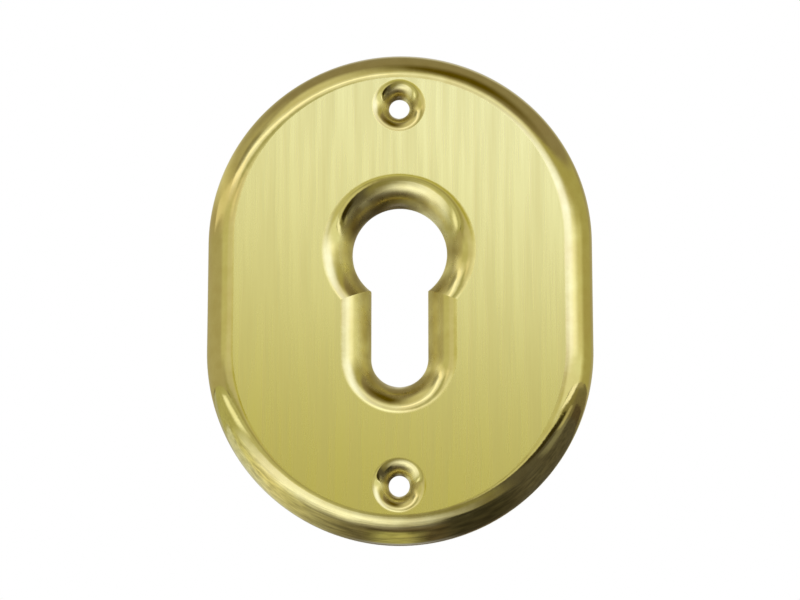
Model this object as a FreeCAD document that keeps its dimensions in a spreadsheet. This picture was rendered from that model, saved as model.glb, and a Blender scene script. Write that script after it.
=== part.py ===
import FreeCAD, Part
import Sketcher
import math
import os

# Keyhole escutcheon: an oval plate drawn from one piece of brass sheet.
# The rim curves back to the door, and the keyhole's edge is drawn back the same way into a collar.
# Frame: the door is the plane y = 0, the plate's face looks along -Y, +Z is up and the round part
# of the keyhole is uppermost. The origin is the middle of the plate, on the door. Millimetres.

# Driving sizes: the plate
PLATE_WIDTH = 71.0
PLATE_HEIGHT = 91.2
PLATE_DEPTH = 7.0
SHEET_GAUGE = 0.8
RIM_BEND = 5.5
EDGE_BREAK = 0.15

# Driving sizes: the lock cylinder that passes through, and the collar round it
BARREL_DIAMETER = 17.0
WEB_WIDTH = 10.0
CYLINDER_HEIGHT = 33.0
CYLINDER_GAP = 0.25
COLLAR_BEND = 5.5
COLLAR_SETBACK = 0.4

# Driving sizes: the two screws and the dimples that seat them
SCREW_SPACING = 70.0
SCREW_SHANK = 3.5
SCREW_GAP = 0.15
DIMPLE_BEND = 3.15
DIMPLE_DEPTH = 3.9

# How far a cutting profile reaches past the surfaces that it opens
CUT_REACH = 1.0

# How far an edge may stand off a plane and still count as lying in it
ON_PLANE = 1e-6

SIZES = (
    ("plate_width", PLATE_WIDTH, "plate, side to side"),
    ("plate_height", PLATE_HEIGHT, "plate, end to end"),
    ("plate_depth", PLATE_DEPTH, "door to face"),
    ("sheet_gauge", SHEET_GAUGE, "thickness of the brass sheet"),
    ("rim_bend", RIM_BEND, "outer radius of the rim's bend"),
    ("edge_break", EDGE_BREAK, "flat that breaks each of the sheet's cut edges"),
    ("barrel_diameter", BARREL_DIAMETER, "round part of the lock cylinder"),
    ("web_width", WEB_WIDTH, "flat web of the lock cylinder, side to side"),
    ("cylinder_height", CYLINDER_HEIGHT, "lock cylinder, top to bottom"),
    ("cylinder_gap", CYLINDER_GAP, "clearance all round the lock cylinder"),
    ("collar_bend", COLLAR_BEND, "face-side radius of the collar's bend"),
    ("collar_setback", COLLAR_SETBACK, "collar's edge to door"),
    ("screw_spacing", SCREW_SPACING, "screw to screw"),
    ("screw_shank", SCREW_SHANK, "diameter of the screw's shank"),
    ("screw_gap", SCREW_GAP, "clearance all round the shank"),
    ("dimple_bend", DIMPLE_BEND, "face-side radius of a screw dimple's bend"),
    ("dimple_depth", DIMPLE_DEPTH, "face to the dimple's edge"),
    ("cut_reach", CUT_REACH, "reach of a cut past the metal"),
)

doc = FreeCAD.newDocument("keyhole_escutcheon")
sheet = doc.addObject("Spreadsheet::Sheet", "Sizes")
for row, (alias, number, meaning) in enumerate(SIZES, start=1):
    sheet.set("A%d" % row, meaning)
    sheet.set("B%d" % row, str(number))
    sheet.setAlias("B%d" % row, alias)
doc.recompute()

# Formulas over the sheet that several features share
PLATE_END = "Sizes.plate_width / 2"
PLATE_CENTRES = "Sizes.plate_height - Sizes.plate_width"
FACE = "-Sizes.plate_depth"
BARREL_HOLE = "(Sizes.barrel_diameter / 2 + Sizes.cylinder_gap)"
WEB_HOLE = "(Sizes.web_width / 2 + Sizes.cylinder_gap)"
BARREL_RISE = "(Sizes.cylinder_height - Sizes.barrel_diameter) / 2"
TAIL_RISE = "(Sizes.web_width - Sizes.cylinder_height) / 2"
SCREW_HOLE = "(Sizes.screw_shank / 2 + Sizes.screw_gap)"
SCREW_RISE = "Sizes.screw_spacing / 2"
COLLAR_EDGE = "-Sizes.collar_setback"
DIMPLE_EDGE = "(Sizes.dimple_depth - Sizes.plate_depth)"


def value(formula):
    """The present value of a formula over the sheet."""
    return float(sheet.evalExpression(formula.replace("Sizes.", "")))


def new_body(label):
    """A body whose label names its file, standing at the frame's origin."""
    body = doc.addObject("PartDesign::Body", "Plate")
    body.Label = label
    body.Placement = FreeCAD.Placement()
    return body


def origin_plane(body, role):
    """One of the body's own origin planes."""
    return next(item for item in body.Origin.OriginFeatures if item.Role == role)


def new_sketch(body, name, role, lift=None):
    """A sketch on an origin plane, raised along that plane's normal by a formula."""
    sketch = body.newObject("Sketcher::SketchObject", name)
    sketch.AttachmentSupport = [(origin_plane(body, role), "")]
    sketch.MapMode = "FlatFace"
    if lift:
        sketch.setExpression("AttachmentOffset.Base.z", lift)
    return sketch


def fix(sketch, kind, item, end, formula):
    """One dimension of a sketch's point, tied to a formula; a point at zero lies on the axis."""
    if formula == "0":
        axis = {"DistanceX": -2, "DistanceY": -1}[kind]
        sketch.addConstraint(Sketcher.Constraint("PointOnObject", item, end, axis))
        return
    index = sketch.addConstraint(Sketcher.Constraint(kind, item, end, value(formula)))
    sketch.setExpression("Constraints[%d]" % index, formula)


def fix_radius(sketch, item, formula):
    """The radius of an arc, tied to a formula."""
    index = sketch.addConstraint(Sketcher.Constraint("Radius", item, value(formula)))
    sketch.setExpression("Constraints[%d]" % index, formula)


def draw_stadium(sketch, end_radius, centres):
    """Two straight sides joined by half-round ends, centred on the sketch's origin."""
    radius = value(end_radius)
    half = value(centres) / 2
    up = FreeCAD.Vector(0, 0, 1)
    corners = [FreeCAD.Vector(x, y, 0) for x, y in
               ((radius, -half), (radius, half), (-radius, half), (-radius, -half))]
    top = Part.Circle(FreeCAD.Vector(0, half, 0), up, radius)
    bottom = Part.Circle(FreeCAD.Vector(0, -half, 0), up, radius)
    sketch.addGeometry([
        Part.LineSegment(corners[0], corners[1]),
        Part.ArcOfCircle(top, 0, math.pi),
        Part.LineSegment(corners[2], corners[3]),
        Part.ArcOfCircle(bottom, math.pi, 2 * math.pi),
    ], False)
    for item in range(4):
        sketch.addConstraint(Sketcher.Constraint("Tangent", item, 2, (item + 1) % 4, 1))
    sketch.addConstraint(Sketcher.Constraint("Vertical", 0))
    sketch.addConstraint(Sketcher.Constraint("PointOnObject", 1, 3, -2))
    sketch.addConstraint(Sketcher.Constraint("Symmetric", 1, 3, 3, 3, -1, 1))
    fix_radius(sketch, 1, end_radius)
    fix(sketch, "DistanceY", 1, 3, "(%s) / 2" % centres)


def draw_loop(sketch, corners, arcs):
    """A closed loop through corners given as pairs of formulas.

    arcs maps the number of a corner to the arc that leaves it: centre across, centre up, radius.
    """
    places = [FreeCAD.Vector(value(x), value(y), 0) for x, y in corners]
    starts = []
    for item, start in enumerate(places):
        finish = places[(item + 1) % len(places)]
        if item not in arcs:
            sketch.addGeometry(Part.LineSegment(start, finish), False)
            starts.append(1)
            continue
        across, along, radius = arcs[item]
        centre = FreeCAD.Vector(value(across), value(along), 0)
        circle = Part.Circle(centre, FreeCAD.Vector(0, 0, 1), value(radius))
        first = circle.parameter(start)
        last = circle.parameter(finish)
        forward = (last - first) % (2 * math.pi) < math.pi
        ends = (first, last) if forward else (last, first)
        sketch.addGeometry(Part.ArcOfCircle(circle, *ends), False)
        starts.append(1 if forward else 2)
    for item in range(len(places)):
        following = (item + 1) % len(places)
        joint = Sketcher.Constraint("Coincident", item, 3 - starts[item], following, starts[following])
        sketch.addConstraint(joint)
    for item, (x, y) in enumerate(corners):
        fix(sketch, "DistanceX", item, starts[item], x)
        fix(sketch, "DistanceY", item, starts[item], y)
    for item, (across, along, radius) in arcs.items():
        fix_radius(sketch, item, radius)


def add_feature(body, kind, name, sketch, **settings):
    """A feature that adds or cuts metal from a sketch, with its plain settings."""
    feature = body.newObject("PartDesign::" + kind, name)
    feature.Profile = sketch
    for setting, choice in settings.items():
        setattr(feature, setting, choice)
    sketch.Visibility = False
    return feature


def flat_edges(feature, depth):
    """The names of a feature's edges that lie wholly at one distance from the door."""
    names = []
    for number, edge in enumerate(feature.Shape.Edges, start=1):
        box = edge.BoundBox
        if abs(box.YMin - depth) < ON_PLANE and abs(box.YMax - depth) < ON_PLANE:
            names.append("Edge%d" % number)
    return names


def dress_edges(body, kind, name, feature, depth, size):
    """A bend (Fillet) or a flat (Chamfer) along all the edges that a feature has at one depth."""
    doc.recompute()
    dressed = body.newObject("PartDesign::" + kind, name)
    dressed.Base = (feature, flat_edges(feature, value(depth)))
    dressed.setExpression({"Fillet": "Radius", "Chamfer": "Size"}[kind], size)
    return dressed


def flare_metal(hole, bend, edge):
    """Half the profile of a flare's metal before it is cut: from the axis to its door side.

    The profile starts half a gauge inside the sheet, so that it grows out of the plate.
    """
    inside = "%s + Sizes.sheet_gauge / 2" % FACE
    wall = "%s + Sizes.sheet_gauge" % hole
    corners = [
        ("0", inside),
        ("%s + %s" % (hole, bend), inside),
        ("%s + %s" % (hole, bend), "%s + Sizes.sheet_gauge" % FACE),
        (wall, "%s + %s" % (FACE, bend)),
        (wall, "%s - Sizes.edge_break" % edge),
        ("%s - Sizes.edge_break" % wall, edge),
        ("0", edge),
    ]
    arcs = {
        2: ("%s + %s" % (hole, bend), "%s + %s" % (FACE, bend), "%s - Sizes.sheet_gauge" % bend),
    }
    return corners, arcs


def flare_opening(hole, bend, edge):
    """Half the profile that is cut out of a flare: from the axis to its face side."""
    outside = "%s - Sizes.cut_reach" % FACE
    broken = "%s + Sizes.edge_break" % hole
    corners = [
        ("0", outside),
        ("%s + %s" % (hole, bend), outside),
        ("%s + %s" % (hole, bend), FACE),
        (hole, "%s + %s" % (FACE, bend)),
        (hole, "%s - Sizes.edge_break" % edge),
        (broken, edge),
        (broken, "%s + Sizes.cut_reach" % edge),
        ("0", "%s + Sizes.cut_reach" % edge),
    ]
    arcs = {
        2: ("%s + %s" % (hole, bend), "%s + %s" % (FACE, bend), bend),
    }
    return corners, arcs


def both_sides(corners, arcs):
    """A half profile and its mirror image as one closed loop."""
    def opposite(formula):
        return formula if formula == "0" else "-(%s)" % formula

    half = corners[1:-1]
    loop = half + [(opposite(x), y) for x, y in reversed(half)]
    bends = {}
    for item, (across, along, radius) in arcs.items():
        bends[item - 1] = (across, along, radius)
        bends[len(loop) - 1 - item] = (opposite(across), along, radius)
    return loop, bends


def add_turned(body, kind, name, rise, loop, angle):
    """Metal or a cut turned about an axis that runs from face to door at one height."""
    sketch = new_sketch(body, name + "Profile", "XY_Plane", rise)
    draw_loop(sketch, *loop)
    turned = add_feature(body, kind, name, sketch, ReferenceAxis=(sketch, ["V_Axis"]), Angle=angle)
    return turned


def add_run(body, kind, name, loop, reversed_run):
    """Metal or a cut that runs straight from the tail's centre up to the barrel's centre."""
    sketch = new_sketch(body, name + "Profile", "XY_Plane", TAIL_RISE)
    draw_loop(sketch, *both_sides(*loop))
    run = add_feature(body, kind, name, sketch, Reversed=reversed_run)
    run.setExpression("Length", "%s - %s" % (BARREL_RISE, TAIL_RISE))
    return run


def plate_shell(body):
    """The oval tray: a face, a bent rim and an open back, of one gauge throughout.

    The inside bend is filled in first, so that the outside bend never breaks through it.
    """
    outline = new_sketch(body, "Outline", "XZ_Plane")
    draw_stadium(outline, PLATE_END, PLATE_CENTRES)
    block = add_feature(body, "Pad", "Block", outline)
    block.setExpression("Length", "Sizes.plate_depth")
    inside = new_sketch(body, "InsideOutline", "XZ_Plane")
    draw_stadium(inside, "%s - Sizes.sheet_gauge" % PLATE_END, PLATE_CENTRES)
    hollow = add_feature(body, "Pocket", "Hollow", inside, Reversed=True)
    hollow.setExpression("Length", "Sizes.plate_depth - Sizes.sheet_gauge")
    inside_face = "%s + Sizes.sheet_gauge" % FACE
    inside_bend = "Sizes.rim_bend - Sizes.sheet_gauge"
    inner = dress_edges(body, "Fillet", "RimBendInside", hollow, inside_face, inside_bend)
    dress_edges(body, "Fillet", "RimBend", inner, FACE, "Sizes.rim_bend")


def keyhole_collar(body):
    """The keyhole's edge drawn back to the door, mitred where the barrel meets the web."""
    for kind, name, shape in (("Revolution", "Metal", flare_metal), ("Groove", "Opening", flare_opening)):
        barrel = shape(BARREL_HOLE, "Sizes.collar_bend", COLLAR_EDGE)
        web = shape(WEB_HOLE, "Sizes.collar_bend", COLLAR_EDGE)
        straight = "Pad" if kind == "Revolution" else "Pocket"
        add_turned(body, kind, "Barrel" + name, BARREL_RISE, barrel, 360)
        add_run(body, straight, "Web" + name, web, straight == "Pocket")
        add_turned(body, kind, "Tail" + name, TAIL_RISE, web, 180)


def screw_dimples(body):
    """A drawn seat round each screw hole: one is made and the other mirrors it."""
    metal = flare_metal(SCREW_HOLE, "Sizes.dimple_bend", DIMPLE_EDGE)
    opening = flare_opening(SCREW_HOLE, "Sizes.dimple_bend", DIMPLE_EDGE)
    seat = add_turned(body, "Revolution", "DimpleMetal", SCREW_RISE, metal, 360)
    hole = add_turned(body, "Groove", "DimpleOpening", SCREW_RISE, opening, 360)
    pair = body.newObject("PartDesign::Mirrored", "DimplePair")
    pair.Originals = [seat, hole]
    pair.MirrorPlane = (origin_plane(body, "XY_Plane"), [""])
    body.Tip = pair
    return pair


def rim_edge(body, feature):
    """The rim's cut edge against the door, freed of its burr."""
    body.Tip = dress_edges(body, "Chamfer", "RimEdge", feature, "0", "Sizes.edge_break")


def check_body(body):
    """Stops where a feature failed, or where a cut took nothing away or a pad added nothing."""
    doc.recompute()
    for item in doc.Objects:
        if "Invalid" in item.State or "Error" in item.State:
            raise RuntimeError("%s is %s" % (item.Name, item.State))
    volume = 0.0
    for item in body.Group:
        if not item.isDerivedFrom("PartDesign::Feature"):
            continue
        if item.Shape.isNull() or not item.Shape.isValid():
            raise RuntimeError("%s has no valid shape" % item.Name)
        change = item.Shape.Volume - volume
        cuts = item.TypeId in ("PartDesign::Pocket", "PartDesign::Groove")
        adds = item.TypeId in ("PartDesign::Pad", "PartDesign::Revolution")
        if (cuts and change >= 0) or (adds and change <= 0):
            raise RuntimeError("%s changed the volume by %.3f" % (item.Name, change))
        volume = item.Shape.Volume
        print("%-16s volume %9.2f solids %d" % (item.Name, volume, len(item.Shape.Solids)))
    if len(body.Shape.Solids) != 1 or not body.Shape.isValid():
        raise RuntimeError("the plate isn't one valid solid")


plate = new_body("escutcheon_plate")
plate_shell(plate)
keyhole_collar(plate)
dimples = screw_dimples(plate)
rim_edge(plate, dimples)
check_body(plate)

os.makedirs("parts", exist_ok=True)
for sub_part in (plate,):
    sub_part.Shape.exportStep("parts/%s.step" % sub_part.Label)
box = plate.Shape.optimalBoundingBox()
print("x %.2f..%.2f" % (box.XMin, box.XMax))
print("y %.2f..%.2f" % (box.YMin, box.YMax))
print("z %.2f..%.2f" % (box.ZMin, box.ZMax))
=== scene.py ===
import math
from collections import namedtuple

import bpy
import numpy as np
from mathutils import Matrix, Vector
from mathutils.geometry import delaunay_2d_cdt


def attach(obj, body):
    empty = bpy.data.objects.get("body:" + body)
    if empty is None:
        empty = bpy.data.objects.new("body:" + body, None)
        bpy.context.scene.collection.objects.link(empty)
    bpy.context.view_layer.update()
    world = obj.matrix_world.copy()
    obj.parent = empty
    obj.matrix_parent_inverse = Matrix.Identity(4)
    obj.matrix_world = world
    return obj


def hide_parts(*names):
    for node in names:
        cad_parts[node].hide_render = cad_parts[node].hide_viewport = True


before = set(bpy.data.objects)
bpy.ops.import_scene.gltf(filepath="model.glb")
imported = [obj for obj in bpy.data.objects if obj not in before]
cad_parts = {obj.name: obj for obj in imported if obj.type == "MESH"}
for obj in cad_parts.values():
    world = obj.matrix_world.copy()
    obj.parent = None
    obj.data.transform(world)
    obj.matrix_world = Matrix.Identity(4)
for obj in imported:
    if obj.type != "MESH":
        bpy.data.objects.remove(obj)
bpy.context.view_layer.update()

# A pressed brass keyhole escutcheon: brushed face, polished bends, plain inside.
# The visual mesh follows the same named sizes as the CAD source. Sizes are in millimetres here
# and become metres when a mesh is made. The face looks along -Y and the door is the plane y = 0.

MM = 0.001

# The plate
PLATE_WIDTH = 71.0
PLATE_HEIGHT = 91.2
PLATE_DEPTH = 7.0
SHEET_GAUGE = 0.8
RIM_BEND = 5.5
EDGE_BREAK = 0.15

# The lock cylinder and the collar round it
BARREL_DIAMETER = 17.0
WEB_WIDTH = 10.0
CYLINDER_HEIGHT = 33.0
CYLINDER_GAP = 0.25
COLLAR_BEND = 5.5
COLLAR_SETBACK = 0.4

# The screws and their dimples
SCREW_SPACING = 70.0
SCREW_SHANK = 3.5
SCREW_GAP = 0.15
DIMPLE_BEND = 3.15
DIMPLE_DEPTH = 3.9

# Places that follow from the sizes
RIM_RADIUS = PLATE_WIDTH / 2
RIM_RISE = (PLATE_HEIGHT - PLATE_WIDTH) / 2
BARREL_HOLE = BARREL_DIAMETER / 2 + CYLINDER_GAP
WEB_HOLE = WEB_WIDTH / 2 + CYLINDER_GAP
BARREL_RISE = (CYLINDER_HEIGHT - BARREL_DIAMETER) / 2
TAIL_RISE = (WEB_WIDTH - CYLINDER_HEIGHT) / 2
SCREW_HOLE = SCREW_SHANK / 2 + SCREW_GAP
SCREW_RISE = SCREW_SPACING / 2

# How finely the mesh is cut
BEND_STEPS = 30
INSIDE_BEND_STEPS = 16
EDGE_STEPS = 4
RIM_END_STEPS = 110
RIM_SIDE_STEPS = 10
BARREL_STEPS = 130
WEB_STEPS = 12
TAIL_STEPS = 80
DIMPLE_STEPS = 96
FACE_GRID = 2.0
FACE_GRID_CLEAR = 0.9
SAME_PLACE = 1e-7
NO_AREA = 1e-12


# Outlines. Each gives, at an offset into the metal, its points and the two offset directions
# of every span: at the span's start and at its end.

def arc_points(centre, radius, start, finish, steps, away):
    """Points of an arc without its last one, and each span's offset directions."""
    angles = np.linspace(start, finish, steps + 1)
    ring = np.stack([np.cos(angles), np.sin(angles)], 1)
    points = np.array([0.0, centre]) + radius * ring
    return points[:-1], np.stack([away * ring[:-1], away * ring[1:]], 1)


def line_points(start, finish, steps, direction):
    """Points of a straight side without its last one, and each span's offset directions."""
    share = np.linspace(0.0, 1.0, steps + 1)[:-1, None]
    points = np.array(start) * (1 - share) + np.array(finish) * share
    return points, np.tile(np.array(direction, float), (steps, 2, 1))


def rim_outline(offset):
    """The plate's outline; the offset runs inwards."""
    radius = RIM_RADIUS - offset
    parts = [
        arc_points(RIM_RISE, radius, 0, math.pi, RIM_END_STEPS, -1),
        line_points((-radius, RIM_RISE), (-radius, -RIM_RISE), RIM_SIDE_STEPS, (1, 0)),
        arc_points(-RIM_RISE, radius, math.pi, 2 * math.pi, RIM_END_STEPS, -1),
        line_points((radius, -RIM_RISE), (radius, RIM_RISE), RIM_SIDE_STEPS, (-1, 0)),
    ]
    return [np.concatenate(group) for group in zip(*parts)]


def keyhole_outline(offset):
    """The keyhole's outline; the offset runs outwards, and the neck moves along its mitre."""
    barrel = BARREL_HOLE + offset
    web = WEB_HOLE + offset
    neck = -math.acos(web / barrel)
    neck_rise = BARREL_RISE + barrel * math.sin(neck)
    parts = [
        arc_points(BARREL_RISE, barrel, neck, math.pi - neck, BARREL_STEPS, 1),
        line_points((-web, neck_rise), (-web, TAIL_RISE), WEB_STEPS, (-1, 0)),
        arc_points(TAIL_RISE, web, math.pi, 2 * math.pi, TAIL_STEPS, 1),
        line_points((web, TAIL_RISE), (web, neck_rise), WEB_STEPS, (1, 0)),
    ]
    return [np.concatenate(group) for group in zip(*parts)]


def screw_outline(rise):
    """A screw hole's outline; the offset runs outwards."""
    def outline(offset):
        return arc_points(rise, SCREW_HOLE + offset, 0, 2 * math.pi, DIMPLE_STEPS, 1)
    return outline


# Profiles. Each span is a row of points (offset, depth) with normals in the same plane, and the
# kind of surface that it is.

OUTSIDE = "outside"
CUT = "cut"
INSIDE = "inside"
# The attribute that is 1 where the metal is drawn inwards, round the keyhole and the screws
DRAWN = "drawn"


def profile_arc(centre, radius, start, finish, steps, outward):
    """A bend or a rounded edge, from one angle to the other."""
    angles = np.linspace(start, finish, steps + 1)
    ring = np.stack([np.cos(angles), np.sin(angles)], 1)
    return np.array(centre) + radius * ring, ring * outward


def profile_line(start, finish, normal):
    """A straight wall or edge."""
    return np.array([start, finish], float), np.tile(np.array(normal, float), (2, 1))


def bent_edge_profile(bend, edge):
    """From the face round the bend and over the sheet's edge, and back to the inside of the face."""
    quarter = math.pi / 2
    face = -PLATE_DEPTH
    centre = (bend, face + bend)
    outer_break = (EDGE_BREAK, edge - EDGE_BREAK)
    inner_break = (SHEET_GAUGE - EDGE_BREAK, edge - EDGE_BREAK)
    inner_bend = bend - SHEET_GAUGE
    return [
        (*profile_arc(centre, bend, -quarter, -2 * quarter, BEND_STEPS, 1), OUTSIDE),
        (*profile_line((0, face + bend), (0, edge - EDGE_BREAK), (-1, 0)), OUTSIDE),
        (*profile_arc(outer_break, EDGE_BREAK, 2 * quarter, quarter, EDGE_STEPS, 1), CUT),
        (*profile_line((EDGE_BREAK, edge), (SHEET_GAUGE - EDGE_BREAK, edge), (0, 1)), CUT),
        (*profile_arc(inner_break, EDGE_BREAK, quarter, 0, EDGE_STEPS, 1), CUT),
        (*profile_line((SHEET_GAUGE, edge - EDGE_BREAK), (SHEET_GAUGE, face + bend), (1, 0)), INSIDE),
        (*profile_arc(centre, inner_bend, -2 * quarter, -quarter, INSIDE_BEND_STEPS, -1), INSIDE),
    ]


class Shell:
    """Collects the points, faces, corner normals and surface kinds of one closed mesh."""

    def __init__(self):
        self.points = []
        self.faces = []
        self.normals = []
        self.kinds = []
        self.drawn = []

    def add_face(self, corners, normals, kind, drawn=0.0):
        """A face, turned so that it looks the way its normals point."""
        places = [Vector(self.points[corner]) for corner in corners]
        facing = (places[1] - places[0]).cross(places[2] - places[0])
        if len(places) > 3 and facing.length < NO_AREA:
            facing = (places[2] - places[0]).cross(places[3] - places[0])
        if facing.dot(Vector(np.sum(normals, 0))) < 0:
            corners = corners[::-1]
            normals = normals[::-1]
        self.faces.append(corners)
        self.normals.extend(normals)
        self.kinds.append(kind)
        self.drawn.append(drawn)

    def sweep(self, outline, profile, drawn):
        """Carries a profile round an outline; returns the loops that bound the two flat faces."""
        rows = []
        for span, (places, _, _) in enumerate(profile):
            for offset, depth in places[:-1] if span < len(profile) - 1 else places:
                loop, directions = outline(offset)
                first = len(self.points)
                self.points.extend([(x, depth, z) for x, z in loop])
                rows.append((first, directions))
        count = len(directions)
        row = 0
        for places, normals, kind in profile:
            for step in range(len(places) - 1):
                for item in range(count):
                    self.add_quad(rows, row, item, count, normals[step:step + 2], kind, drawn)
                row += 1
        first, last = rows[0][0], rows[-1][0]
        return range(first, first + count), range(last, last + count)

    def add_quad(self, rows, row, item, count, normals, kind, drawn):
        """One face between two rows of a sweep, with the exact normal at each corner."""
        following = (item + 1) % count
        corners = []
        slopes = []
        for step, end, place in ((0, 0, item), (0, 1, following), (1, 1, following), (1, 0, item)):
            first, directions = rows[row + step]
            across, along = normals[step]
            x, z = directions[item][end]
            corners.append(first + place)
            slopes.append((across * x, along, across * z))
        self.add_face(corners, slopes, kind, drawn)

    def close_flat(self, loops, depth, facing, kind):
        """Fills a flat face between its outer loop and its holes, over an even grid of points."""
        corners = [corner for loop in loops for corner in loop]
        places = [Vector((self.points[corner][0], self.points[corner][2])) for corner in corners]
        edges = []
        start = 0
        for loop in loops:
            edges += [(start + step, start + (step + 1) % len(loop)) for step in range(len(loop))]
            start += len(loop)
        for x, z in flat_grid():
            corners.append(len(self.points))
            self.points.append((x, depth, z))
            places.append(Vector((x, z)))
        result = delaunay_2d_cdt(places, edges, [], 0, SAME_PLACE)
        triangles, sources = result[2], result[3]
        for triangle in triangles:
            numbers = [corners[sources[corner][0]] for corner in triangle]
            middle = np.mean([self.points[number] for number in numbers], 0)
            if in_flat(middle[0], middle[2], 0.0):
                self.add_face(numbers, [(0, facing, 0)] * 3, kind)

    def make(self, name):
        """The mesh object, in metres."""
        mesh = bpy.data.meshes.new(name)
        mesh.from_pydata([(x * MM, y * MM, z * MM) for x, y, z in self.points], [], self.faces)
        mesh.polygons.foreach_set("use_smooth", [True] * len(mesh.polygons))
        shares = {
            INSIDE: [float(kind == INSIDE) for kind in self.kinds],
            CUT: [float(kind == CUT) for kind in self.kinds],
            DRAWN: self.drawn,
        }
        for title, values in shares.items():
            mesh.attributes.new(title, "FLOAT", "FACE").data.foreach_set("value", values)
        mesh.normals_split_custom_set([Vector(normal).normalized() for normal in self.normals])
        mesh.validate(clean_customdata=False)
        made = bpy.data.objects.new(name, mesh)
        bpy.context.scene.collection.objects.link(made)
        return made


def in_flat(x, z, clear):
    """Whether a place lies on the flat face, at least so far from every bend."""
    rim = math.hypot(x, max(abs(z) - RIM_RISE, 0.0))
    if rim > RIM_RADIUS - RIM_BEND - clear:
        return False
    if math.hypot(x, z - BARREL_RISE) < BARREL_HOLE + COLLAR_BEND + clear:
        return False
    if abs(x) < WEB_HOLE + COLLAR_BEND + clear and TAIL_RISE < z < BARREL_RISE:
        return False
    if math.hypot(x, z - TAIL_RISE) < WEB_HOLE + COLLAR_BEND + clear:
        return False
    return math.hypot(x, abs(z) - SCREW_RISE) > SCREW_HOLE + DIMPLE_BEND + clear


def flat_grid():
    """An even grid of places on the flat face, clear of its bends."""
    wide = int(RIM_RADIUS / FACE_GRID)
    high = int((RIM_RADIUS + RIM_RISE) / FACE_GRID)
    spots = [(column * FACE_GRID, row * FACE_GRID)
             for column in range(-wide, wide + 1) for row in range(-high, high + 1)]
    return [(x, z) for x, z in spots if in_flat(x, z, FACE_GRID_CLEAR)]


def make_plate():
    """The whole plate as one closed sheet."""
    shell = Shell()
    collar = bent_edge_profile(COLLAR_BEND, -COLLAR_SETBACK)
    dimple = bent_edge_profile(DIMPLE_BEND, DIMPLE_DEPTH - PLATE_DEPTH)
    loops = [
        shell.sweep(rim_outline, bent_edge_profile(RIM_BEND, 0.0), 0.0),
        shell.sweep(keyhole_outline, collar, 1.0),
        shell.sweep(screw_outline(SCREW_RISE), dimple, 1.0),
        shell.sweep(screw_outline(-SCREW_RISE), dimple, 1.0),
    ]
    shell.close_flat([front for front, _ in loops], -PLATE_DEPTH, -1, OUTSIDE)
    shell.close_flat([back for _, back in loops], SHEET_GAUGE - PLATE_DEPTH, 1, INSIDE)
    return shell.make("plate_brass")


class Graph:
    """Short calls that add nodes to a material or to the world."""

    def __init__(self, tree):
        self.tree = tree
        self.tree.nodes.clear()

    def node(self, kind, **settings):
        """A node of a kind, with its settings."""
        made = self.tree.nodes.new("ShaderNode" + kind)
        for setting, choice in settings.items():
            setattr(made, setting, choice)
        return made

    def feed(self, socket, source):
        """Links a socket to another node's, or gives it a value of its own."""
        if isinstance(source, bpy.types.NodeSocket):
            self.tree.links.new(source, socket)
        else:
            socket.default_value = source

    def math(self, operation, *sources):
        made = self.node("Math", operation=operation)
        for place, source in enumerate(sources):
            self.feed(made.inputs[place], source)
        return made.outputs[0]

    def dot(self, source, direction):
        made = self.node("VectorMath", operation="DOT_PRODUCT")
        self.feed(made.inputs[0], source)
        self.feed(made.inputs[1], direction)
        return made.outputs["Value"]

    def cross(self, direction, source):
        made = self.node("VectorMath", operation="CROSS_PRODUCT")
        self.feed(made.inputs[0], direction)
        self.feed(made.inputs[1], source)
        return made.outputs[0]

    def axes(self, source):
        """A vector's three parts."""
        made = self.node("SeparateXYZ")
        self.feed(made.inputs[0], source)
        return made.outputs

    def fit(self, source, low, high, to_low, to_high, smooth=False):
        """A value carried from one range to another, and held at its ends."""
        made = self.node("MapRange", clamp=True)
        made.interpolation_type = "SMOOTHSTEP" if smooth else "LINEAR"
        for place, item in enumerate((source, low, high, to_low, to_high)):
            self.feed(made.inputs[place], item)
        return made.outputs[0]

    def soft_edge(self, distance, half, soft):
        """1 up to a half size and 0 beyond it, with a soft edge between."""
        return self.fit(distance, half - soft / 2, half + soft / 2, 1.0, 0.0, smooth=True)

    def mix(self, share, first, second, label=""):
        """A colour between two others."""
        made = self.node("Mix", data_type="RGBA", label=label)
        for place, source in ((0, share), (6, first), (7, second)):
            self.feed(made.inputs[place], source)
        return made.outputs[2]

    def blend(self, share, first, second):
        """A number between two others."""
        made = self.node("Mix", data_type="FLOAT")
        for place, source in ((0, share), (2, first), (3, second)):
            self.feed(made.inputs[place], source)
        return made.outputs[0]

    def noise(self, places, cells, detail, seed):
        """Noise from 0 to 1 with its own count of cells per metre along each axis."""
        mapping = self.node("Mapping")
        self.feed(mapping.inputs["Vector"], places)
        mapping.inputs["Scale"].default_value = cells
        mapping.inputs["Location"].default_value = (seed, seed * 0.7, seed * 1.3)
        made = self.node("TexNoise")
        self.feed(made.inputs["Vector"], mapping.outputs[0])
        made.inputs["Scale"].default_value = 1.0
        made.inputs["Detail"].default_value = detail
        return made.outputs["Fac"]

    def relief(self, height, depth, strength):
        """A bump from a height between 0 and 1."""
        made = self.node("Bump")
        made.inputs["Strength"].default_value = strength
        made.inputs["Distance"].default_value = depth * MM
        self.feed(made.inputs["Height"], height)
        return made


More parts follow.
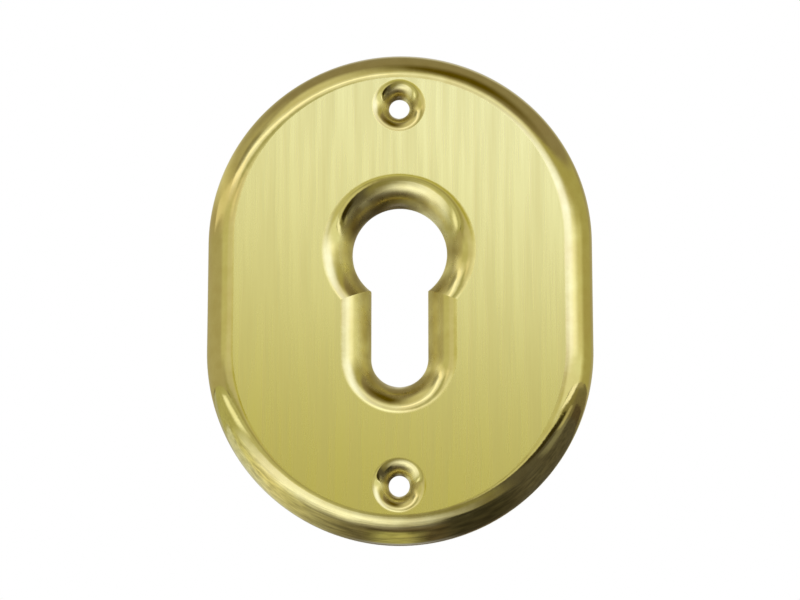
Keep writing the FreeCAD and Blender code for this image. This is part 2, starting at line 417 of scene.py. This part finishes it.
# Brass, in linear light
# Painted light and shade on the face: lighter towards its top right, darker towards its foot
FACE_PAINTED_LIGHT = (0.97, 0.92, 0.43, 1)
FACE_PAINTED_SHADE = (0.84, 0.76, 0.235, 1)
FACE_STREAK = (0.74, 0.66, 0.25, 1)
BEND_LIGHT = (0.91, 0.83, 0.37, 1)
BEND_DARK = (0.83, 0.74, 0.30, 1)
SUNK_LIGHT = (0.95, 0.88, 0.42, 1)
SUNK_DARK = (0.74, 0.65, 0.27, 1)
# Painted shade for the upper left of each drawn hollow
PAINTED_SHADE = (0.44, 0.34, 0.13, 1)
TARNISH = (0.80, 0.64, 0.27, 1)
INSIDE_LIGHT = (0.70, 0.58, 0.27, 1)
INSIDE_DARK = (0.50, 0.39, 0.17, 1)
CUT_COLOUR = (0.55, 0.45, 0.19, 1)

# The metal's patterns: cells per metre along x, y and z, detail and seed. Each has the range of its
# noise that is used, from the least to the most marked.
FINE_BRUSHING = ((2600, 2600, 60), 2.0, 3.1)
BROAD_BRUSHING = ((620, 620, 32), 2.0, 8.7)
INSIDE_CLOUD = ((70, 70, 70), 2.0, 5.3)
SMEAR = ((420, 420, 420), 3.0, 1.9)
TARNISH_SPOTS = ((95, 95, 95), 3.0, 6.6)
MOTTLE = ((260, 260, 260), 2.0, 9.4)
SWELL = ((220, 220, 220), 1.0, 4.4)
PEEL = ((1300, 1300, 1300), 2.0, 7.2)

# Where one finish gives way to the next, in degrees of tilt away from the front
BRUSHING_ENDS = (0.6, 2.6)
DULLNESS_STARTS = (25, 40)
# Painted shade: the drawn metal that faces this way, down and to the right on the upper left of each
# hollow, is coloured dark
PAINTED_SHADE_FACING = (0.45, 0.0, -0.89)

STREAK_RANGE = (0.35, 0.65)
CLOUD_RANGE = (0.3, 0.7)
SMEAR_RANGE = (0.3, 0.7)
BEND_SMEAR_RANGE = (0.35, 0.7)
TARNISH_RANGE = (0.5, 0.72)
MOTTLE_RANGE = (0.34, 0.66)
# For the painted shade: the mottle that thins it, and how far the metal faces its way
PAINTED_SHADE_MOTTLE_RANGE = (0.3, 0.7)
PAINTED_SHADE_FACING_RANGE = (0.25, 0.75)

# How strongly each pattern shows
FINE_SHARE = 0.3
STREAK_SHARE = 0.42
TARNISH_SHARE = 0.5
# The painted shade's share where the mottle thins it most
THINNEST_PAINTED_SHADE = 0.45
# The face's painted shade at its foot gives way to its painted light at its head along a slope, over this
# much in millimetres
FACE_LIGHT_SLOPE_ACROSS = 0.25
FACE_LIGHT_SLOPE_HALF = 40.0

# Roughness, from the least to the most marked part of each finish
FACE_ROUGHNESS = (0.29, 0.26)
BEND_ROUGHNESS = (0.06, 0.11)
SUNK_ROUGHNESS = (0.25, 0.34)
INSIDE_ROUGHNESS = (0.34, 0.5)
ANISOTROPY = 0.9

# The relief of the bends and of the brushing, in millimetres
WAVE_DEPTH = 0.018
PEEL_SHARE = 0.2
GRAIN_DEPTH = 0.006
GRAIN_STRENGTH = 0.5


class BrassFinish:
    """The patterns and the parts of the plate that the brass's colour and roughness share."""

    def __init__(self, graph):
        self.graph = graph
        self.places = graph.node("TexCoord").outputs["Object"]
        self.normal = graph.node("NewGeometry").outputs["Normal"]
        self.inside = self.part(INSIDE)
        self.cut = self.part(CUT)
        self.brushed = self.tilt(BRUSHING_ENDS, 1.0, 0.0)
        self.sunk = graph.math("MULTIPLY", self.tilt(DULLNESS_STARTS, 0.0, 1.0), self.part(DRAWN))
        broad = graph.math("MULTIPLY", self.pattern(BROAD_BRUSHING), 1.0 - FINE_SHARE)
        streak = graph.math("MULTIPLY_ADD", self.pattern(FINE_BRUSHING), FINE_SHARE, broad)
        self.streak = graph.fit(streak, *STREAK_RANGE, 0.0, 1.0)
        self.smear = self.pattern(SMEAR)

    def part(self, title):
        """1 on the faces of one kind."""
        return self.graph.node("Attribute", attribute_name=title).outputs["Fac"]

    def pattern(self, pattern):
        return self.graph.noise(self.places, *pattern)

    def tilt(self, angles, at_first, at_second):
        """A share that goes from one value to another as the metal tilts away from the front."""
        facing = self.graph.dot(self.normal, (0, -1, 0))
        first, second = (math.cos(math.radians(angle)) for angle in angles)
        return self.graph.fit(facing, second, first, at_second, at_first, smooth=True)

    def colour(self):
        graph = self.graph
        colour = graph.mix(self.brushed, self.bend_colour(), self.face_colour())
        cloud = graph.fit(self.pattern(INSIDE_CLOUD), *CLOUD_RANGE, 0.0, 1.0)
        colour = graph.mix(self.inside, colour, graph.mix(cloud, INSIDE_DARK, INSIDE_LIGHT))
        return graph.mix(self.cut, colour, CUT_COLOUR)

    def face_colour(self):
        """Painted light towards the top right and painted shade towards the foot, with darker streaks of
        brushing.
        """
        graph = self.graph
        across, _, upward = graph.axes(self.places)
        # Painted light and shade: the face's colour follows a slope up and a little to the right
        slope = graph.math("MULTIPLY_ADD", across, FACE_LIGHT_SLOPE_ACROSS, upward)
        slope = graph.fit(slope, -FACE_LIGHT_SLOPE_HALF * MM, FACE_LIGHT_SLOPE_HALF * MM, 0.0, 1.0)
        streaks = graph.fit(self.streak, 0.0, 1.0, STREAK_SHARE, 0.0)
        return graph.mix(streaks, graph.mix(slope, FACE_PAINTED_SHADE, FACE_PAINTED_LIGHT), FACE_STREAK)

    def bend_colour(self):
        """Polished and a little tarnished, mottled where the metal is drawn deep, and with painted shade on
        the upper left of each drawn hollow.
        """
        graph = self.graph
        polished = graph.mix(graph.fit(self.smear, *SMEAR_RANGE, 0.0, 1.0), BEND_DARK, BEND_LIGHT)
        tarnish = graph.fit(self.pattern(TARNISH_SPOTS), *TARNISH_RANGE, 0.0, TARNISH_SHARE)
        polished = graph.mix(tarnish, polished, TARNISH)

        mottle = self.pattern(MOTTLE)
        sunk = graph.mix(graph.fit(mottle, *MOTTLE_RANGE, 0.0, 1.0), SUNK_DARK, SUNK_LIGHT)
        # Painted shade on drawn metal that faces down and to the right, patchy with the mottle
        turned = graph.dot(self.normal, PAINTED_SHADE_FACING)
        turned = graph.fit(turned, *PAINTED_SHADE_FACING_RANGE, 0.0, 1.0, smooth=True)
        patchy = graph.fit(mottle, *PAINTED_SHADE_MOTTLE_RANGE, 1.0, THINNEST_PAINTED_SHADE)
        painted_shade = graph.math("MULTIPLY", graph.math("MULTIPLY", self.sunk, turned), patchy)
        return graph.mix(self.sunk, polished, graph.mix(painted_shade, sunk, PAINTED_SHADE))

    def roughness(self):
        graph = self.graph
        bend = graph.fit(self.smear, *BEND_SMEAR_RANGE, *BEND_ROUGHNESS)
        sunk = graph.fit(self.smear, *SMEAR_RANGE, *SUNK_ROUGHNESS)
        face = graph.fit(self.streak, 0.0, 1.0, *FACE_ROUGHNESS)
        inside = graph.fit(self.smear, *SMEAR_RANGE, *INSIDE_ROUGHNESS)
        rough = graph.blend(self.brushed, graph.blend(self.sunk, bend, sunk), face)
        return graph.blend(graph.math("MAXIMUM", self.inside, self.cut), rough, inside)

    def relief(self):
        """Faint waves on the bends, and the grain of the brushing on the face."""
        graph = self.graph
        wave = graph.math("MULTIPLY_ADD", self.pattern(PEEL), PEEL_SHARE, self.pattern(SWELL))
        wave = graph.math("MULTIPLY", wave, graph.math("SUBTRACT", 1.0, self.brushed))
        waves = graph.relief(wave, WAVE_DEPTH, 1.0)
        grain = graph.relief(graph.math("MULTIPLY", self.streak, self.brushed), GRAIN_DEPTH, GRAIN_STRENGTH)
        graph.feed(grain.inputs["Normal"], waves.outputs[0])
        return grain.outputs[0]


def brass():
    """Brushed where the face is flat, polished on its bends, duller where it is drawn deep, and
    plain mill finish inside."""
    material = bpy.data.materials.new("brass")
    material.use_nodes = True
    graph = Graph(material.node_tree)
    finish = BrassFinish(graph)
    shader = graph.node("BsdfPrincipled")
    shader.inputs["Metallic"].default_value = 1.0
    shader.inputs["Anisotropic"].default_value = ANISOTROPY
    graph.feed(shader.inputs["Base Color"], finish.colour())
    graph.feed(shader.inputs["Roughness"], finish.roughness())
    graph.feed(shader.inputs["Normal"], finish.relief())
    graph.feed(shader.inputs["Tangent"], graph.cross((0, 0, 1), finish.normal))
    graph.feed(graph.node("OutputMaterial").inputs["Surface"], shader.outputs[0])
    return material


# The studio, by direction seen from the plate: degrees to the right of straight ahead and degrees up,
# then half width, half height and softness in degrees, and the light. A later panel covers an earlier.
Panel = namedtuple("Panel", "name side rise wide high soft light")
ROOM = (0.27, 0.23, 0.16)
PANELS = (
    Panel("left wall", -137.5, -20, 92.5, 60, 24, (0.43, 0.39, 0.26)),
    Panel("left wash", -20, 32.5, 26.5, 33, 18.5, (0.63, 0.60, 0.46)),
    Panel("right wall", 67.5, 7, 62.5, 28, 6.5, (0.41, 0.38, 0.19)),
    Panel("right wash", 65.5, -18.5, 14.5, 32, 24, (0.74, 0.73, 0.52)),
    Panel("right ceiling", 25.5, 58.5, 19.5, 15, 24, (0.10, 0.07, 0.00)),
    Panel("left gap", -60, 36.5, 9, 5, 6, (0.27, 0.25, 0.17)),
    Panel("left streak", -62, 23, 38, 4.5, 4.5, (0.82, 0.76, 0.60)),
    Panel("top panel", -14, 32.5, 34.5, 5.5, 17, (0.96, 0.97, 1.05)),
    Panel("tube right", -14, 34, 9, 2.1, 2.5, (1.25, 1.24, 1.28)),
    Panel("tube left", -33, 32, 14, 2.3, 2.5, (1.22, 1.18, 1.22)),
    Panel("tube end", -50, 27, 9, 2.6, 3.5, (1.15, 1.08, 1.00)),
    Panel("key", 21, 9.5, 32, 7, 24, (1.20, 1.22, 1.26)),
    Panel("dim front", 2, 5, 19, 4.5, 11, (0.43, 0.40, 0.08)),
    Panel("key top", 20, 15, 15.5, 6.5, 18.5, (1.21, 1.29, 1.96)),
    Panel("rear lamp", 175.5, 32, 13, 16, 24, (0.61, 0.60, 0.65)),
    Panel("front sill", -20.5, -3.5, 29, 3.5, 3, (0.38, 0.36, 0.19)),
    Panel("dim bar middle", -9.5, 20, 4.5, 3.5, 3.5, (0.49, 0.49, 0.37)),
    Panel("left rear streak", -108.5, 26.5, 51.5, 3.5, 14, (0.71, 0.68, 0.47)),
    Panel("dim bar left", -23, 22, 10, 3, 4.5, (0.42, 0.41, 0.26)),
    Panel("front spot", 0, 15.5, 3, 3, 3.5, (1.27, 1.35, 1.45)),
    Panel("right sill", 47, -2.5, 25, 7, 8, (0.80, 0.82, 0.70)),
    Panel("left window", -45.5, 12.5, 11.5, 8, 10, (0.56, 0.54, 0.34)),
)
# The white behind the plate, which the camera's picture takes in
BACKDROP = Panel("backdrop", 182, 9, 12, 10, 3, (1.0, 1.0, 1.0))

# The board below the plate: its height, half size and light, and the patches on it. Each patch has
# its middle across and in depth, half width, half depth and softness in millimetres, and its light.
Patch = namedtuple("Patch", "name x y wide deep soft light")
BOARD_RISE = -110.0
BOARD_HALF_SIZE = 1500.0
BOARD = (0.18, 0.16, 0.10)
PATCHES = (
    Patch("far front", 110, -1300, 900, 900, 290, (0.48, 0.48, 0.37)),
    Patch("behind", 145, 125, 350, 195, 16, (0.09, 0.07, 0.05)),
    Patch("left sheet", -340, -200, 270, 475, 130, (0.78, 0.76, 0.58)),
    Patch("front sheet", -145, -235, 160, 150, 105, (1.19, 1.22, 1.45)),
    Patch("right gap", 80, 20, 55, 110, 16, (0.045, 0.04, 0.03)),
    Patch("near stripe", -5, 28, 12, 56, 20, (0.40, 0.39, 0.21)),
    Patch("far left", -865, -355, 670, 760, 300, (0.44, 0.43, 0.23)),
    Patch("right front", 495, -420, 540, 215, 190, (0.24, 0.22, 0.11)),
    Patch("far right", 2235, -875, 1635, 365, 125, (1.05, 1.06, 1.08)),
    Patch("left front", -585, -420, 255, 190, 150, (1.05, 1.06, 0.99)),
    Patch("far behind left", -720, 1270, 520, 920, 20, (0.46, 0.46, 0.40)),
    Patch("right near", 210, -130, 125, 595, 40, (0.09, 0.08, 0.07)),
    Patch("far front middle", 115, -1310, 245, 730, 160, (0.26, 0.23, 0.14)),
    Patch("behind left", -220, 525, 110, 510, 65, (0.62, 0.63, 0.61)),
    Patch("right edge", 1400, -150, 350, 330, 300, (0.34, 0.31, 0.20)),
    Patch("right far light", 320, -1130, 230, 460, 110, (0.62, 0.60, 0.42)),
    Patch("right dark", 285, -430, 130, 140, 70, (0.03, 0.022, 0.004)),
    Patch("right corner", 250, -150, 85, 53, 40, (0.21, 0.20, 0.17)),
    Patch("right glint", 365, -210, 95, 42, 36, (0.46, 0.43, 0.30)),
    Patch("near stripe behind", -3, 130, 24, 54, 40, (0.35, 0.35, 0.45)),
    Patch("far front left", -620, -1075, 540, 540, 300, (0.49, 0.48, 0.31)),
)
# The board's light is a little uneven, and more so from the first depth to the second
SPECKLE = ((75, 75, 75), 3.0, 2.2)
SPECKLE_RANGE = (0.36, 0.64)
SPECKLE_FADE = (-160.0, -60.0)
SPECKLE_SHARE = (0.05, 0.32)

# The floor, in millimetres
FLOOR_DROP = 300.0
FLOOR_FRONT = -90.0
FLOOR_BACK = 1900.0
FLOOR_HALF_WIDTH = 1200.0
FLOOR_COLOUR = (0.86, 0.86, 0.85, 1)
FLOOR_ROUGHNESS = 0.8

# The camera, in millimetres and degrees
CAMERA_DISTANCE = 390.0
CAMERA_SIDE = 2.0
CAMERA_RISE = -9.12
CAMERA_AIM = (0.0, 0.0, -0.31)
CAMERA_LENS = 94.8
CAMERA_SENSOR = 36.0
CAMERA_NEAR = 10.0


def direction(side, rise):
    """The direction so many degrees to the right of straight ahead, and so many up."""
    side, rise = math.radians(side), math.radians(rise)
    return Vector((math.sin(side) * math.cos(rise), -math.cos(side) * math.cos(rise), math.sin(rise)))


def panel_share(graph, sight, panel):
    """How far a direction lies on a panel: 1 in its middle, 0 outside, with a soft edge."""
    ahead = graph.dot(sight, direction(panel.side, panel.rise))
    right = graph.dot(sight, direction(panel.side + 90, 0))
    upward = graph.dot(sight, direction(panel.side, panel.rise + 90))
    across = graph.math("ABSOLUTE", graph.math("ARCTAN2", right, ahead))
    along = graph.math("ABSOLUTE", graph.math("ARCSINE", upward))
    soft = math.radians(panel.soft)
    return graph.math("MULTIPLY", graph.soft_edge(across, math.radians(panel.wide), soft),
                      graph.soft_edge(along, math.radians(panel.high), soft))


def patch_share(graph, across, depth, patch):
    """How far a place on the board lies on a patch: 1 in its middle, 0 outside, with a soft edge."""
    shares = []
    for place, middle, half in ((across, patch.x, patch.wide), (depth, patch.y, patch.deep)):
        apart = graph.math("ABSOLUTE", graph.math("SUBTRACT", place, middle * MM))
        shares.append(graph.soft_edge(apart, half * MM, patch.soft * MM))
    return graph.math("MULTIPLY", *shares)


def studio_world():
    """White to the camera. The metal sees soft panels in a dim warm room, and the white behind."""
    world = bpy.data.worlds.new("studio")
    bpy.context.scene.world = world
    world.use_nodes = True
    graph = Graph(world.node_tree)
    sight = graph.node("TexCoord").outputs["Generated"]
    light = (*ROOM, 1)
    for panel in PANELS:
        light = graph.mix(panel_share(graph, sight, panel), light, (*panel.light, 1), panel.name)
    path = graph.node("LightPath").outputs
    shiny = graph.math("MAXIMUM", path["Is Glossy Ray"], path["Is Transmission Ray"])
    plain = graph.math("MAXIMUM", path["Is Camera Ray"], path["Is Diffuse Ray"])
    behind = graph.math("MULTIPLY", shiny, panel_share(graph, sight, BACKDROP))
    shown = graph.math("MAXIMUM", plain, behind)
    background = graph.node("Background")
    graph.feed(background.inputs["Color"], graph.mix(shown, light, (*BACKDROP.light, 1), BACKDROP.name))
    graph.feed(graph.node("OutputWorld").inputs["Surface"], background.outputs[0])


def level_piece(name, left, right, front, back, rise):
    """A level sheet of the set."""
    corners = [(left, front), (right, front), (right, back), (left, back)]
    mesh = bpy.data.meshes.new(name)
    mesh.from_pydata([(x * MM, y * MM, rise * MM) for x, y in corners], [], [(0, 1, 2, 3)])
    piece = bpy.data.objects.new(name, mesh)
    bpy.context.scene.collection.objects.link(piece)
    return piece


def reflector_light():
    """The patches of light on the board, a little uneven."""
    material = bpy.data.materials.new("reflector_light")
    material.use_nodes = True
    graph = Graph(material.node_tree)
    places = graph.node("TexCoord").outputs["Object"]
    across, depth, _ = graph.axes(places)
    light = (*BOARD, 1)
    for patch in PATCHES:
        light = graph.mix(patch_share(graph, across, depth, patch), light, (*patch.light, 1), patch.name)
    start, end = SPECKLE_FADE
    share = graph.fit(depth, start * MM, end * MM, *SPECKLE_SHARE, smooth=True)
    speckle = graph.fit(graph.noise(places, *SPECKLE), *SPECKLE_RANGE, -1.0, 1.0)
    glow = graph.node("Emission")
    graph.feed(glow.inputs["Color"], light)
    graph.feed(glow.inputs["Strength"], graph.math("MULTIPLY_ADD", speckle, share, 1.0))
    graph.feed(graph.node("OutputMaterial").inputs["Surface"], glow.outputs[0])
    return material


def make_reflector():
    """The board that lies under the plate's lower edge. Only the metal's reflections see it."""
    half = BOARD_HALF_SIZE
    board = level_piece("reflector", -half, half, -half, half, BOARD_RISE)
    board.data.materials.append(reflector_light())
    board.visible_camera = False
    board.visible_diffuse = False
    board.visible_shadow = False
    board.visible_transmission = False


def make_floor():
    """The pale floor, well below the plate."""
    floor = level_piece("floor", -FLOOR_HALF_WIDTH, FLOOR_HALF_WIDTH, FLOOR_FRONT, FLOOR_BACK, -FLOOR_DROP)
    material = bpy.data.materials.new("floor_paint")
    material.use_nodes = True
    shader = material.node_tree.nodes["Principled BSDF"]
    shader.inputs["Base Color"].default_value = FLOOR_COLOUR
    shader.inputs["Roughness"].default_value = FLOOR_ROUGHNESS
    floor.data.materials.append(material)


def make_camera():
    """The photo's view, from a little below and to the right."""
    data = bpy.data.cameras.new("camera")
    data.lens = CAMERA_LENS
    data.sensor_width = CAMERA_SENSOR
    data.clip_start = CAMERA_NEAR * MM
    camera = bpy.data.objects.new("camera", data)
    bpy.context.scene.collection.objects.link(camera)
    camera.location = direction(CAMERA_SIDE, CAMERA_RISE) * CAMERA_DISTANCE * MM
    aim = Vector(CAMERA_AIM) * MM
    camera.rotation_euler = (aim - camera.location).to_track_quat("-Z", "Y").to_euler()
    bpy.context.scene.camera = camera


plate = make_plate()
plate.data.materials.append(brass())
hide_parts("escutcheon_plate")
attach(plate, "root")
studio_world()
make_floor()
make_reflector()
make_camera()
bpy.context.scene.view_settings.view_transform = "Standard"
